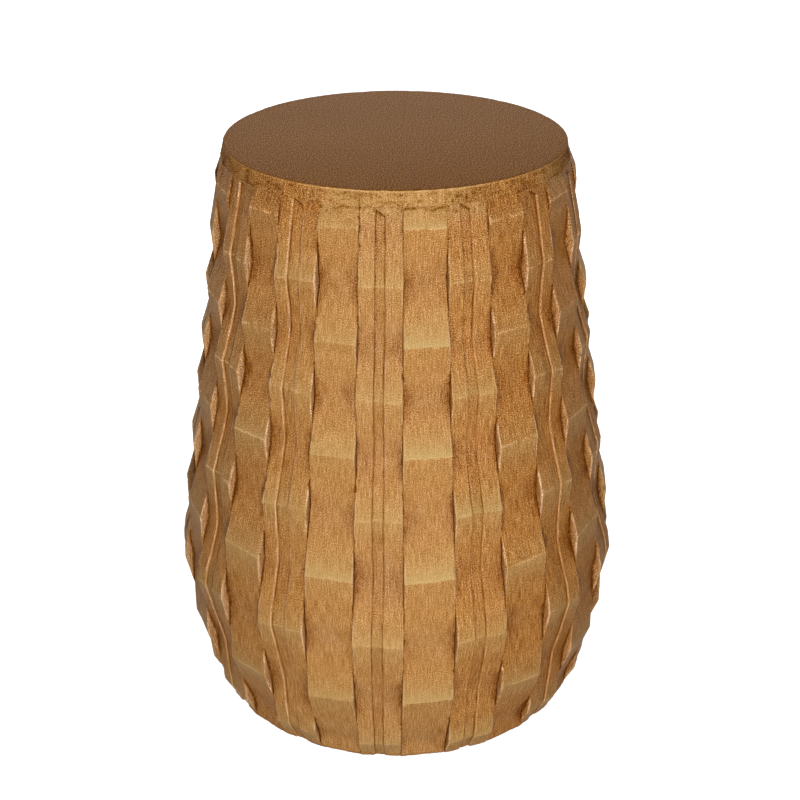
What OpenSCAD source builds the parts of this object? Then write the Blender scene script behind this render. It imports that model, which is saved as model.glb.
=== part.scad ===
// Side table: a coopered drum of bevelled staves whose facets cross like a basket weave.
// Millimetres, +Z up. The origin is on the floor, under the middle of the base.
// A stave is drawn facing +X, as a profile of radius and height that is cut to a wedge between its two
// joint planes. Heights in the drum are counted from the stave ends.

/* [Table] */
// Height from the floor to the top
table_h = 457; // [400:1:520]
// Pairs of staves round the drum, each with one wide stave and one stave of three strips
stave_pairs = 14; // [12:1:16]

/* [Barrel] */
// Mean outer radius at the belly, halfway between ridge and hollow
belly_r = 173; // [160:1:190]
// Height of the belly above the stave ends
belly_z = 136; // [120:1:155]
// Outer radius at the top end of the staves
neck_r = 128.6; // [118:0.2:140]
// Outer radius at the foot
foot_r = 150; // [140:1:160]
// How straight the barrel's side runs from the belly up to the neck, where 1 is a cone
neck_power = 0.96; // [0.9:0.02:1.4]
// How round the barrel turns in from the belly down to the foot, where 1 is a cone
foot_power = 2.04; // [1.6:0.02:2.6]

/* [Weave] */
// Depth from a ridge to the hollow beside it
relief = 7.5; // [4:0.5:9]
// Heights of the ridges as shares of the stave's length, from the foot, strip and wide staves in turn
ridge_shares = [0.038, 0.148, 0.272, 0.391, 0.497, 0.601, 0.697, 0.786, 0.879, 0.969];

/* [Staves] */
// Thickness of a stave from its mean outer face to its inner face
stave_wall = 20; // [18:0.5:24]
// Glue line between two staves
glue_gap = 0.1; // [0.06:0.02:0.2]
// Width of the middle strip as a share of its stave
middle_strip_share = 0.28; // [0.2:0.02:0.4]
// How far the middle strip lies below the two beside it
strip_sink = 1.8; // [1:0.1:2.6]
// Length over which the sunk strip runs out at the top
strip_runout = 8; // [5:0.5:10]
// Plain wood left above the run-out
strip_stop = 2; // [1:0.5:4]

/* [Splines] */
// Thickness of the loose tongue in a joint
spline_t = 4; // [3:0.5:4.5]
// Width of the tongue across the joint
spline_w = 12; // [9:0.5:14]
// Distance from the tongue's ends to the stave's ends
spline_end = 8; // [5:0.5:14]
// Room for glue on each face of the tongue
spline_fit = 0.1; // [0.05:0.05:0.2]

/* [Formers] */
// Thickness of the 28-sided discs inside
former_t = 15; // [12:0.5:18]
// Depth of their grooves in the staves
groove_depth = 4; // [3:0.5:5]
// Height of the base head's underside above the stave ends
base_head_z = 20; // [16:1:30]
// Height of the belly former's underside above the stave ends
belly_former_z = 200; // [170:1:230]

/* [Top] */
// Thickness of the top, which shows as the plain rim
top_t = 11; // [9:0.5:16]
// Radius of the top face
top_r = 127; // [115:0.5:127.5]
// Width of the small bevel round the top face
top_arris = 0.8; // [0.4:0.2:2]

/* [Screws] */
// Number of screws that hold the top
screw_count = 8; // [6:1:12]
// Radius of the circle that they stand on
screw_ring_r = 92; // [70:1:100]
// Radius of the shank
screw_r = 2; // [1.5:0.25:2.5]
// Radius of the countersunk head
screw_head_r = 4; // [3.5:0.25:5]
// How far the screw reaches into the top
screw_reach = 6; // [4:0.5:7]
// Room round the screw in its hole
screw_fit = 0.05; // [0.05:0.05:0.2]

/* [Pads] */
// Number of pads under the stave ends
pad_count = 4; // [3:1:8]
// Thickness of a pad
pad_t = 2; // [1.5:0.5:4]
// Radius of a pad
pad_r = 7; // [5:0.5:8]

/* [Hidden] */
$fn = 96;
overrun = 1;
stave_count = 2 * stave_pairs;
stave_angle = 360 / stave_count;
half_angle = stave_angle / 2;
stave_len = table_h - top_t - pad_t;
last_ridge = len(ridge_shares) - 1;
top_former_z = stave_len - former_t;
far_r = 2 * belly_r;
// The tongue runs midway between the hollows outside and the grooves inside
spline_in = (relief / 2 + stave_wall - groove_depth) / 2;
front = -90;
pad_turn = 45;
wide_colour = "#c2904f";
strip_colour = "#b9854a";
top_colour = "#7f6042";

// Names
function two_digits(k) = str(k < 10 ? "0" : "", k);
function stave_name(kind, k) = str(kind, "_stave_", two_digits(k));

// Shape of the barrel

// Radius of the barrel's mean outer face at a height
function barrel_r(z) = z > belly_z
    ? belly_r - (belly_r - neck_r) * pow((z - belly_z) / (stave_len - belly_z), neck_power)
    : belly_r - (belly_r - foot_r) * pow((belly_z - z) / belly_z, foot_power);

function ridge_z(i) = ridge_shares[i] * stave_len;

// A stave stands out at its own ridges and lies in at its neighbours'. Wide staves own the odd ones.
function stands_out(i, wide) = (i % 2 == 1) == wide ? 1 : -1;

// The ridges and hollows of a stave. A strip stave runs straight from its top ridge up to the rim.
function bends(wide) = [0:wide ? last_ridge : last_ridge - 1];

function zigzag(wide) = concat(
    [[foot_r, 0]],
    [for (i = bends(wide)) [barrel_r(ridge_z(i)) + stands_out(i, wide) * relief / 2, ridge_z(i)]],
    [[neck_r, stave_len]]
);

// Outer radius of a stave at any height
function face_r(z, wide) = lookup(z, [for (p = zigzag(wide)) [p[1], p[0]]]);

// Line that follows the barrel at a depth below its mean face, from foot to top
function inside_line(depth, r_share = 1) = concat(
    [[foot_r * r_share - depth, 0]],
    [for (i = [0:last_ridge]) [barrel_r(ridge_z(i)) * r_share - depth, ridge_z(i)]],
    [[neck_r * r_share - depth, stave_len]]
);

function reversed(points) = [for (i = [len(points) - 1:-1:0]) points[i]];

// Distance from the axis to the flats of a former whose underside is at a height
function seat_r(z) = barrel_r(z + former_t / 2) - stave_wall + groove_depth;

// Stands a profile of radius and height upright, and gives it a width
module upright(width) {
    rotate([90, 0, 0])
        linear_extrude(width, center = true)
            children();
}

// The space between two planes through the axis, each set in by half a glue line
module wedge(angle, gap = 0) {
    translate([gap / 2 / sin(angle), 0, -overrun])
        linear_extrude(table_h)
            polygon([[0, 0], [far_r, -far_r * tan(angle)], [far_r, far_r * tan(angle)]]);
}

// Outline of a joint's tongue, grown by the room round it
module spline_outline(room) {
    share = 1 / cos(half_angle);
    intersection() {
        polygon(concat(
            inside_line(spline_in - spline_t / 2 - room, share),
            reversed(inside_line(spline_in + spline_t / 2 + room, share))
        ));
        translate([0, spline_end - room])
            square([far_r, stave_len - 2 * (spline_end - room)]);
    }
}

module stave_outline(wide) {
    difference() {
        polygon(concat(zigzag(wide), reversed(inside_line(stave_wall))));
        for (z = [base_head_z, belly_former_z])
            translate([0, z - glue_gap])
                square([seat_r(z) + glue_gap, former_t + 2 * glue_gap]);
        // Rebate that the top former is let into
        translate([0, top_former_z - glue_gap])
            square([seat_r(top_former_z) + glue_gap, former_t + overrun]);
    }
}

module plain_stave(wide) {
    difference() {
        intersection() {
            upright(far_r)
                stave_outline(wide);
            wedge(half_angle, glue_gap);
        }
        for (side = [-1, 1])
            rotate(side * half_angle)
                upright(spline_w + 2 * spline_fit)
                    spline_outline(spline_fit);
    }
}

// What is cut away in front of the middle strip. It follows the zigzag and runs out at the top.
module strip_cut() {
    runout_top = stave_len - strip_stop;
    runout_foot = runout_top - strip_runout;
    intersection() {
        upright(far_r)
            polygon(concat(
                [[far_r, -overrun], [foot_r - strip_sink, -overrun], [foot_r - strip_sink, 0]],
                [for (i = bends(false))
                    if (ridge_z(i) < runout_foot)
                        [barrel_r(ridge_z(i)) + stands_out(i, false) * relief / 2 - strip_sink, ridge_z(i)]],
                [[face_r(runout_foot, false) - strip_sink, runout_foot]],
                [[face_r(runout_top, false), runout_top], [far_r, runout_top]]
            ));
        wedge(half_angle * middle_strip_share);
    }
}

module wide_stave() {
    plain_stave(true);
}

module strip_stave() {
    difference() {
        plain_stave(false);
        strip_cut();
    }
}

// Puts a stave, or a joint halfway between two, at its place round the drum
module at_stave(place) {
    translate([0, 0, pad_t])
        rotate(front + place * stave_angle)
            children();
}

module wide_stave_at(k) {
    color(wide_colour)
        at_stave(2 * (k - 1))
            wide_stave();
}

module strip_stave_at(k) {
    color(strip_colour)
        at_stave(2 * (k - 1) + 1)
            strip_stave();
}

module joint_splines() {
    color("#d8b27a")
        for (i = [0:stave_count - 1])
            at_stave(i + 1 / 2)
                upright(spline_w)
                    spline_outline(0);
}

// Disc with one flat for each stave
module former(z) {
    corner_r = seat_r(z) / cos(half_angle);
    translate([0, 0, pad_t + z])
        linear_extrude(former_t)
            polygon([for (i = [0:stave_count - 1])
                let (a = front + (i + 1 / 2) * stave_angle)
                corner_r * [cos(a), sin(a)]]);
}

// Countersunk screw, from its head upwards
module screw(room = 0) {
    length = former_t + screw_reach;
    cone_h = screw_head_r - screw_r;
    rotate_extrude()
        polygon([
            [0, 0],
            [screw_head_r + room, 0],
            [screw_r + room, cone_h],
            [screw_r + room, length],
            [0, length + screw_r / 2]
        ]);
}

module at_screws() {
    for (i = [0:screw_count - 1])
        rotate((i + 1 / 2) * 360 / screw_count)
            translate([screw_ring_r, 0, pad_t + top_former_z])
                children();
}

module top_former() {
    color("#caa46c")
        difference() {
            former(top_former_z);
            at_screws()
                screw(screw_fit);
        }
}

module belly_former() {
    color("#caa46c")
        former(belly_former_z);
}

module base_head() {
    color("#b98f58")
        former(base_head_z);
}

module top_panel() {
    rim_foot_r = neck_r / cos(half_angle);
    color(top_colour)
        difference() {
            translate([0, 0, pad_t + stave_len])
                rotate_extrude()
                    polygon([
                        [0, 0],
                        [rim_foot_r, 0],
                        [top_r, top_t - top_arris],
                        [top_r - top_arris, top_t],
                        [0, top_t]
                    ]);
            at_screws()
                screw(screw_fit);
        }
}

module top_screws() {
    color("#a8a49c")
        at_screws()
            screw();
}

module floor_pads() {
    color("#3a3734")
        for (i = [0:pad_count - 1])
            rotate(pad_turn + i * 360 / pad_count)
                translate([foot_r - stave_wall / 2, 0, 0])
                    cylinder(h = pad_t, r = pad_r);
}

for (k = [1:stave_pairs]) {
    wide_stave_at(k);
    strip_stave_at(k);
}
joint_splines();
top_former();
belly_former();
base_head();
top_panel();
top_screws();
floor_pads();
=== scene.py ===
"""Dresses the side table: a coopered drum of 28 staves whose facets cross like a basket weave.

Wide staves and staves of three strips take turns round the drum. Each swings out to a ridge where its
neighbours lie in a hollow. Every stave is one closed surface, worked out as a cross-section that is
carried up the height, and its attributes say where the stain, the dark glazing and the worn wood lie,
and where light and shade are painted into the colour: a pale sheen on the front staves and ridges,
the floor's reflection below the ridges, pale highlights on edges, and shade beside proud edges, at the
sides and under the rim.
"""

import math

import bpy
import numpy as np
from mathutils import Matrix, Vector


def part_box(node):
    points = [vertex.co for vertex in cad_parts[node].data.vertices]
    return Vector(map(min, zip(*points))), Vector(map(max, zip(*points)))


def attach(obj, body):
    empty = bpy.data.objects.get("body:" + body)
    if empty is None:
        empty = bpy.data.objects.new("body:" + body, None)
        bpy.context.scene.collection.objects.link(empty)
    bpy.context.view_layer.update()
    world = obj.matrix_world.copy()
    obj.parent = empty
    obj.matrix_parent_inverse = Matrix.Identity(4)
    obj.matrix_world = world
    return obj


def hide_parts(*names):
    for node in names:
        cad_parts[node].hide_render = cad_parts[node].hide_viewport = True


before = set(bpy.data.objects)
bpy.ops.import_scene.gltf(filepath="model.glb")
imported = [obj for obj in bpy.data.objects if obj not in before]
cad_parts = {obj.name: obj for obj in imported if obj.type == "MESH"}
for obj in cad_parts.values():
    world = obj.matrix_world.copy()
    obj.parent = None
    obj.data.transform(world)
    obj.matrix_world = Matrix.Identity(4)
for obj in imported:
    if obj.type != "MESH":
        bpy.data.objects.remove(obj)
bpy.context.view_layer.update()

MM = 0.001
SEED = 20

# The drum, in metres. Heights inside it are counted from the stave ends.
PAD_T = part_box("floor_pads")[1][2]
TABLE_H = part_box("top_panel")[1][2]
STAVE_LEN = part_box("wide_stave_01")[1][2] - PAD_T
RIM_H = TABLE_H - PAD_T - STAVE_LEN
BELLY_R = 173 * MM
BELLY_Z = 136 * MM
NECK_R = 128.6 * MM
FOOT_R = 150 * MM
NECK_POWER = 0.96
FOOT_POWER = 2.04
RELIEF = 7.5 * MM
WALL = 20 * MM
TOP_R = 127 * MM
PAD_R = 7 * MM
RIDGE_SHARES = np.array([0.038, 0.148, 0.272, 0.391, 0.497, 0.601, 0.697, 0.786, 0.879, 0.969])
RIDGE_Z = RIDGE_SHARES * STAVE_LEN
RIDGE_COUNT = len(RIDGE_Z)
STAVE_COUNT = 28
STAVE_ANGLE = 2 * math.pi / STAVE_COUNT
HALF_ANGLE = STAVE_ANGLE / 2
# Half the glue line between two staves
GLUE = 0.05 * MM
# A stave's usual width, which sets the size of what is drawn across it
STAVE_WIDTH = 36 * MM

# How finely the staves are drawn
ROW_STEP = 0.9 * MM
ROWS = int(round(STAVE_LEN / ROW_STEP)) + 1
ROW_Z = np.linspace(0, STAVE_LEN, ROWS)
FINE_Z = np.linspace(0, STAVE_LEN, 4401)
# Where the columns of points lie beside an edge, and where the evenly spaced ones start
EDGE_COLUMNS = np.array([0, 0.35, 0.8, 1.4, 2.2]) * MM
EVEN_FROM = 3.2 * MM
# How far below the arris a joint face starts, and how deep its points lie from there
ARRIS_DROP = 0.8 * MM
SIDE_DEPTHS = np.array([0.5, 1.2, 2.2, 3.4, 5, 7, 10]) * MM


def soft_noise(u, v, cell_u, cell_v, seed):
    """Smooth noise from -1 to 1: random numbers at the corners of cells, blended by smoothstep."""
    count = 256
    table = np.random.default_rng(SEED * 1000 + seed).uniform(-1, 1, (count, count))
    a, b = np.broadcast_arrays(np.asarray(u) / cell_u, np.asarray(v) / cell_v)
    i, j = np.floor(a).astype(int), np.floor(b).astype(int)
    p, q = a - i, b - j
    p, q = p * p * (3 - 2 * p), q * q * (3 - 2 * q)
    i, j, k, m = i % count, j % count, (i + 1) % count, (j + 1) % count
    low = table[i, j] * (1 - p) + table[k, j] * p
    high = table[i, m] * (1 - p) + table[k, m] * p
    return low * (1 - q) + high * q


def half_noise(u, v, cell_u, cell_v, seed):
    """The same noise, from 0 to 1."""
    return 0.5 + 0.5 * soft_noise(u, v, cell_u, cell_v, seed)


def line_noise(cell, seed):
    """Noise from -1 to 1 that changes with height alone, one value for each row."""
    return soft_noise(ROW_Z, 0 * ROW_Z, cell, 1, seed)


def ramp(x, low, high):
    """Smooth step from 0 at low to 1 at high."""
    t = np.clip((x - low) / (high - low), 0, 1)
    return t * t * (3 - 2 * t)


def fade(distance, near, far):
    """1 up to a near distance, falling smoothly to 0 at a far one."""
    return 1 - ramp(distance, near, far)


def between(low, high, share):
    """The value that lies a share of the way from low to high."""
    return low + (high - low) * share


def bell(distance, width):
    """A bell curve: 1 at distance 0, 0.37 at its width, and next to nothing at twice that."""
    return np.exp(-((distance / width) ** 2))


def barrel_radius(z):
    """Mean outer radius at a height: a near-cone above the belly and a round turn-in below it."""
    up = np.clip((z - BELLY_Z) / (STAVE_LEN - BELLY_Z), 0, None)
    down = np.clip((BELLY_Z - z) / BELLY_Z, 0, None)
    return BELLY_R - (BELLY_R - NECK_R) * up**NECK_POWER - (BELLY_R - FOOT_R) * down**FOOT_POWER


def signed_place(place):
    """A place round the drum, counted from the front one: up to 13 to its right and -14 to its left."""
    return place if place < STAVE_COUNT / 2 else place - STAVE_COUNT


# Where the photographed staves' ridges end on the left and on the right, in millimetres above the even
# height, by the stave's place and the ridge's number. The other staves get random ones.
RIDGE_ENDS = {
    -5: {2: (2.0, 4.0), 4: (-0.1, 0.2), 6: (-0.3, -0.1), 8: (-0.5, -0.1)},
    -4: {1: (2.5, 1.7), 3: (1.8, 1.1), 5: (-0.4, 0.5), 7: (-1.3, 0.2), 9: (0.3, 1.3)},
    -3: {2: (0.9, 5.0), 4: (-0.2, 1.9), 6: (0.3, -0.2), 8: (-1.7, 0.9)},
    -2: {1: (-1.4, 1.2), 3: (-1.0, 0.2), 5: (0.4, 1.1), 7: (0.4, 1.2), 9: (-1.4, 0.0)},
    -1: {2: (1.3, 0.7), 4: (0.7, -0.1), 6: (0.6, -0.5), 8: (0.6, 0.0)},
    0: {1: (0.9, 1.2), 3: (-0.1, 0.9), 5: (0.9, 0.8), 7: (-0.8, -0.8), 9: (0.3, -0.7)},
    1: {2: (1.4, 0.6), 4: (0.4, 0.1), 6: (0.7, 0.2), 8: (1.5, 0.5)},
    2: {1: (0.4, -2.3), 3: (-0.1, 1.3), 5: (1.5, 1.1), 7: (2.7, 2.2), 9: (-0.4, 0.3)},
    3: {2: (2.5, -2.5), 4: (1.9, -2.0), 6: (2.7, -2.0), 8: (0.3, 0.0)},
    4: {3: (-3.0, -2.0), 5: (-0.6, -3.0), 7: (0.3, 0.6)},
}
# The photographed staves' tones by place: how pale each own ridge is, from the lowest up, how yellow the
# stain is, from 0 for orange to 1, and how pale the wood is just below the ridges. The ridges are partly
# worn pale and partly a painted sheen of the front light, and the yellow is partly the stain and partly
# that painted sheen, so both are strongest on the front staves. The paleness below the ridges, strongest
# on the side staves, is a painted reflection of the floor. The other staves get random ones.
TONES = {
    -6: ((0.5, 0.4, 0.3, 0.2, 0.0), 0.3, 0.8),
    -5: ((0.5, 0.4, 0.4, 0.3, 0.2), 0.35, 0.75),
    -4: ((0.55, 0.55, 0.6, 0.25, 0.05), 0.4, 0.85),
    -3: ((0.5, 0.5, 0.55, 0.5, 0.55), 0.7, 0.65),
    -2: ((0.7, 0.9, 0.75, 0.5, 0.5), 1.0, 0.4),
    -1: ((0.55, 0.65, 0.6, 0.6, 0.55), 1.0, 0.6),
    0: ((1.0, 1.1, 1.1, 1.1, 0.95), 1.0, 0.2),
    1: ((0.7, 0.55, 0.9, 0.65, 0.4), 0.45, 0.6),
    2: ((0.6, 0.3, 0.3, 0.3, 0.4), 0.12, 0.8),
    3: ((0.5, 0.4, 0.4, 0.3, 0.2), 0.05, 0.8),
    4: ((0.5, 0.4, 0.2, 0.1, 0.1), 0.1, 0.8),
    5: ((0.4, 0.3, 0.3, 0.2, 0.1), 0.3, 0.7),
}
# How pale the rim and the stave ends under it are, from 0 for dark orange to 1 for the yellow of the
# middle: random ones, and then those of the photographed places from -7 up, which paint the front
# light's sheen on the front staves and shade on the side ones
RIM_PALE = np.random.default_rng(SEED).uniform(0.1, 0.7, STAVE_COUNT)
RIM_PALE[np.arange(-7, 7)] = [0.2, 0.2, 0.15, 0.15, 0.1, 0.9, 0.9, 1, 0.75, 0.1, 0.1, 0.5, 0.2, 0.1]
# How far the photographed joints lie to the right of their even places at the foot and at the rim, in
# millimetres, by the place of the stave on their left
JOINT_DRIFTS = {
    -4: (0.2, -1.0),
    -3: (0.5, 1.2),
    -2: (-0.4, 0.0),
    -1: (-2.8, 0.6),
    0: (-1.8, 0.6),
    1: (0.2, 1.2),
    2: (0.0, 0.0),
}
# Where the two grooves of the photographed strip staves run, as shares of the stave's width
GROOVES = {-5: (0.34, 0.62), -3: (0.31, 0.59), -1: (0.36, 0.60), 1: (0.355, 0.60), 3: (0.38, 0.62)}
EVEN_GROOVES = (0.36, 0.64)


class Stave:
    """One stave: its place round the drum, its kind, its finish and its profile. Its columns, its outer
    face and the heights that its points slid to are added later as arrays, rows by columns."""

    def __init__(self, place):
        self.place = place
        self.signed = signed_place(place)
        self.wide = place % 2 == 0
        self.azimuth = place * STAVE_ANGLE
        self.seed = 10 * place
        self.rng = np.random.default_rng(SEED + place)
        self.kind = "wide" if self.wide else "strip"
        self.name = f"{self.kind}_stave_{place // 2 + 1:02d}"
        odd = np.arange(RIDGE_COUNT) % 2 == 1
        self.ridge_sign = np.where(odd == self.wide, 1, -1)
        self.profile = self.make_profile()
        self.photographed = -7 < self.signed < 6
        self.set_finish()

    def set_finish(self):
        """The tones, and by place how strongly the rest of the finish shows: lit on a groove's lip, line
        along a ridge and edge on a proud arris, pale lines that are partly worn wood and partly painted
        highlight and are stronger on the side staves; deep in a corner's glazing, partly painted shade
        and stronger on the side staves; side_pale and the side darkening on the joint faces, painted
        highlight and painted shade; dusky in a hollow, a greyer tone that partly paints the front light's
        sheen and is strongest on the front staves; and pink all over."""
        wear = self.rng.uniform(0.3, 0.9, RIDGE_COUNT // 2)
        tones = wear, self.rng.uniform(0.2, 0.9), self.rng.uniform(0.3, 0.6)
        self.wear, self.yellow, self.below = TONES.get(self.signed, tones)
        self.rim_pale = RIM_PALE[self.place]
        on_left = self.signed < 0
        middle = -3 < self.signed < 2
        self.lit = 0.15 if abs(self.signed) == 1 else 0.8 if on_left else 0.6
        self.line = 0.45 if -4 < self.signed < 2 else 1.2 if on_left else 0.9
        self.edge = 0.45 if middle else 1.0
        self.deep = 1.0 if middle else 1.5
        self.side_pale, self.side_glaze_and_shade = (0.5, 0.15) if on_left else (0.2, 0.22)
        self.dusky = 1 if abs(self.signed) < 3 else 0.5 if on_left else 0.1
        self.pink = 0.5 if self.signed == -1 else 0

    def make_profile(self):
        """Outer radius against FINE_Z: the barrel's radius, and from a hollow to a ridge a power of the
        way, so the face lies flat in the hollow and flares at the ridge. The strips have no hollow under
        the rim: they run straight up to it from their top ridge. A bell blurs the tips by under 1 mm."""
        flare = 1.25
        tip_blur = 0.8 * MM
        swing_out = 1.02 - 0.10 * self.rng.random(RIDGE_COUNT)
        bends = RIDGE_COUNT if self.wide else RIDGE_COUNT - 1
        ends = np.concatenate([[0], (self.ridge_sign * swing_out * RELIEF / 2)[:bends], [0]])
        knots = np.concatenate([[0], RIDGE_Z[:bends], [STAVE_LEN]])
        k = np.clip(np.searchsorted(knots, FINE_Z, side="right") - 1, 0, len(knots) - 2)
        way = (FINE_Z - knots[k]) / (knots[k + 1] - knots[k])
        rise = np.where(ends[k + 1] > ends[k], way, 1 - way)
        low, high = np.minimum(ends[k], ends[k + 1]), np.maximum(ends[k], ends[k + 1])
        under_rim = knots[k] >= RIDGE_Z[-2]
        knot_r = barrel_radius(knots)
        mean = np.where(under_rim, between(knot_r[k], knot_r[k + 1], way), barrel_radius(FINE_Z))
        radius = mean + between(low, high, np.where(under_rim, rise, rise**flare))
        step = FINE_Z[1] - FINE_Z[0]
        reach = int(3 * MM / step)
        kernel = np.exp(-0.5 * (np.arange(-reach, reach + 1) * step / tip_blur) ** 2)
        padded = np.pad(radius, reach, mode="edge")
        return np.convolve(padded, kernel / kernel.sum(), mode="valid")


# How much each ridge's own shift counts at each row: 1 at the ridge, 0 at the next ones
HATS = np.stack([np.interp(ROW_Z, RIDGE_Z, unit) for unit in np.eye(RIDGE_COUNT)], axis=1)


def joint_shift(joint):
    """How far a joint strays from its even place, in radians at each row: a set-off, a bend and a wobble
    along the joint, over the barrel's radius there."""
    rng = np.random.default_rng(SEED * 7 + joint)
    stray = rng.uniform(-0.8, 0.8) * MM
    place = signed_place(joint)
    if place in JOINT_DRIFTS:
        foot, rim = JOINT_DRIFTS[place]
        stray = between(foot, rim, ROW_Z / STAVE_LEN) * MM
    bend = 0.45 * MM * line_noise(55 * MM, 700 + joint)
    wobble = 0.22 * MM * line_noise(9 * MM, 800 + joint)
    return (stray + bend + wobble) / barrel_radius(ROW_Z)


JOINTS = [joint_shift(j) for j in range(STAVE_COUNT)]


def set_wide_columns(stave):
    """Places across a wide stave from 0 to 1, closer together near its edges, alike at all heights."""
    edge = EDGE_COLUMNS / STAVE_WIDTH
    even_from = EVEN_FROM / STAVE_WIDTH
    even = np.linspace(even_from, 1 - even_from, 26)
    stave.across = np.tile(np.concatenate([edge, even, 1 - edge[::-1]]), (ROWS, 1))


def set_strip_columns(stave):
    """Places across a stave of three strips, and 1 where a column belongs to the sunk middle strip.
    The grooves beside the middle strip wander a little with height."""
    strip_width = 13 * MM
    wander = 0.35 * MM / STAVE_WIDTH
    left, right = GROOVES.get(stave.signed, EVEN_GROOVES)
    left = left + wander * line_noise(30 * MM, stave.seed + 1)
    right = right + wander * line_noise(30 * MM, stave.seed + 2)
    lip = np.array([1.0, 0.45, 0]) * MM
    even = np.linspace(EVEN_FROM / strip_width, 1 - 1.9 * MM / strip_width, 7)
    outer = np.concatenate([EDGE_COLUMNS / strip_width, even, 1 - lip / strip_width])
    groove_wall = 0.3 * MM / STAVE_WIDTH
    inner = np.concatenate([[0, 0.05, 0.12], np.linspace(0.22, 0.78, 6), [0.88, 0.95, 1]])
    first = left[:, None] * outer
    last = 1 - (1 - right[:, None]) * outer[::-1]
    middle = left[:, None] + groove_wall + (right - left - 2 * groove_wall)[:, None] * inner
    stave.across = np.hstack([first, middle, last])
    stave.middle_from, stave.middle_to = len(outer), len(outer) + len(inner)
    stave.sunk = np.zeros(stave.across.shape)
    stave.sunk[:, stave.middle_from : stave.middle_to] = 1
    stave.grooves = first[:, -1:], last[:, :1]


def set_face(stave):
    """Outer radius at each row and column. The ridges tilt, stray and waver, which slides the profile
    up or down, and the whole face waves by a fraction of a millimetre, but not at its plain top end."""
    stray = stave.rng.uniform(-1.6, 1.6, RIDGE_COUNT) * MM
    tilt = stave.rng.uniform(-1.8, 1.8, RIDGE_COUNT) * MM
    for ridge, (left, right) in RIDGE_ENDS.get(stave.signed, {}).items():
        stray[ridge] = (left + right) / 2 * MM
        tilt[ridge] = (right - left) * MM
    level = stave.across[0]
    ridges = np.arange(RIDGE_COUNT)[:, None]
    waver = 0.5 * MM * soft_noise(level * STAVE_WIDTH, ridges, 4 * MM, 1, stave.seed + 3)
    offsets = stray[:, None] + tilt[:, None] * (level - 0.5) + waver
    stave.slid = ROW_Z[:, None] - HATS @ offsets
    u, v = stave.across * STAVE_WIDTH, ROW_Z[:, None]
    lean = 0.6
    wave = 0.20 * MM * (soft_noise(u, v, 13 * MM, 38 * MM, stave.seed + 4) - lean)
    scrape = 0.09 * MM * (soft_noise(u, v, 2.2 * MM, 26 * MM, stave.seed + 5) - lean)
    fibre = 0.05 * MM * (soft_noise(u, v, 0.9 * MM, 9 * MM, stave.seed + 6) - lean)
    plain_end = fade(v, STAVE_LEN - 3 * MM, STAVE_LEN - 0.5 * MM)
    radius = np.interp(stave.slid, FINE_Z, stave.profile)
    stave.face = radius + (wave + scrape + fibre) * plain_end


def cut_arris(distance, radius):
    """How far an arris, rounded to a quarter circle of that radius, falls away at this distance."""
    inside = np.clip(radius - distance, 0, radius)
    return radius - np.sqrt(np.clip(radius**2 - inside**2, 0, None))


def grid_mesh(name, points, attributes=None, grain=None):
    """A closed mesh of quads over a grid of points, rows by columns: the last column joins the first, and
    a flat cap closes the first and last rows. attributes are one number a point, grain is its UV."""
    rows, columns = points.shape[:2]
    index = np.arange(rows * columns).reshape(rows, columns)
    right = np.roll(index, -1, axis=1)
    quads = np.stack([index[:-1], right[:-1], right[1:], index[1:]], axis=-1).reshape(-1, 4)
    loops = np.concatenate([quads.ravel(), index[0, ::-1], index[-1]])
    sizes = np.concatenate([np.full(len(quads), 4), [columns, columns]])
    mesh = bpy.data.meshes.new(name)
    mesh.vertices.add(rows * columns)
    mesh.vertices.foreach_set("co", points.reshape(-1).astype(np.float32))
    mesh.loops.add(len(loops))
    mesh.loops.foreach_set("vertex_index", loops.astype(np.int32))
    mesh.polygons.add(len(sizes))
    starts = np.concatenate([[0], np.cumsum(sizes)[:-1]])
    mesh.polygons.foreach_set("loop_start", starts.astype(np.int32))
    smooth = np.ones(len(sizes), bool)
    smooth[-2:] = False
    mesh.polygons.foreach_set("use_smooth", smooth)
    mesh.update(calc_edges=True)
    for key, values in (attributes or {}).items():
        layer = mesh.attributes.new(key, "FLOAT", "POINT")
        layer.data.foreach_set("value", values.reshape(-1).astype(np.float32))
    if grain is not None:
        uv = mesh.uv_layers.new(name="grain")
        uv.data.foreach_set("uv", grain.reshape(-1, 2)[loops].astype(np.float32).ravel())
    mesh.validate(clean_customdata=False)
    piece = bpy.data.objects.new(name, mesh)
    bpy.context.scene.collection.objects.link(piece)
    return piece


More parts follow.
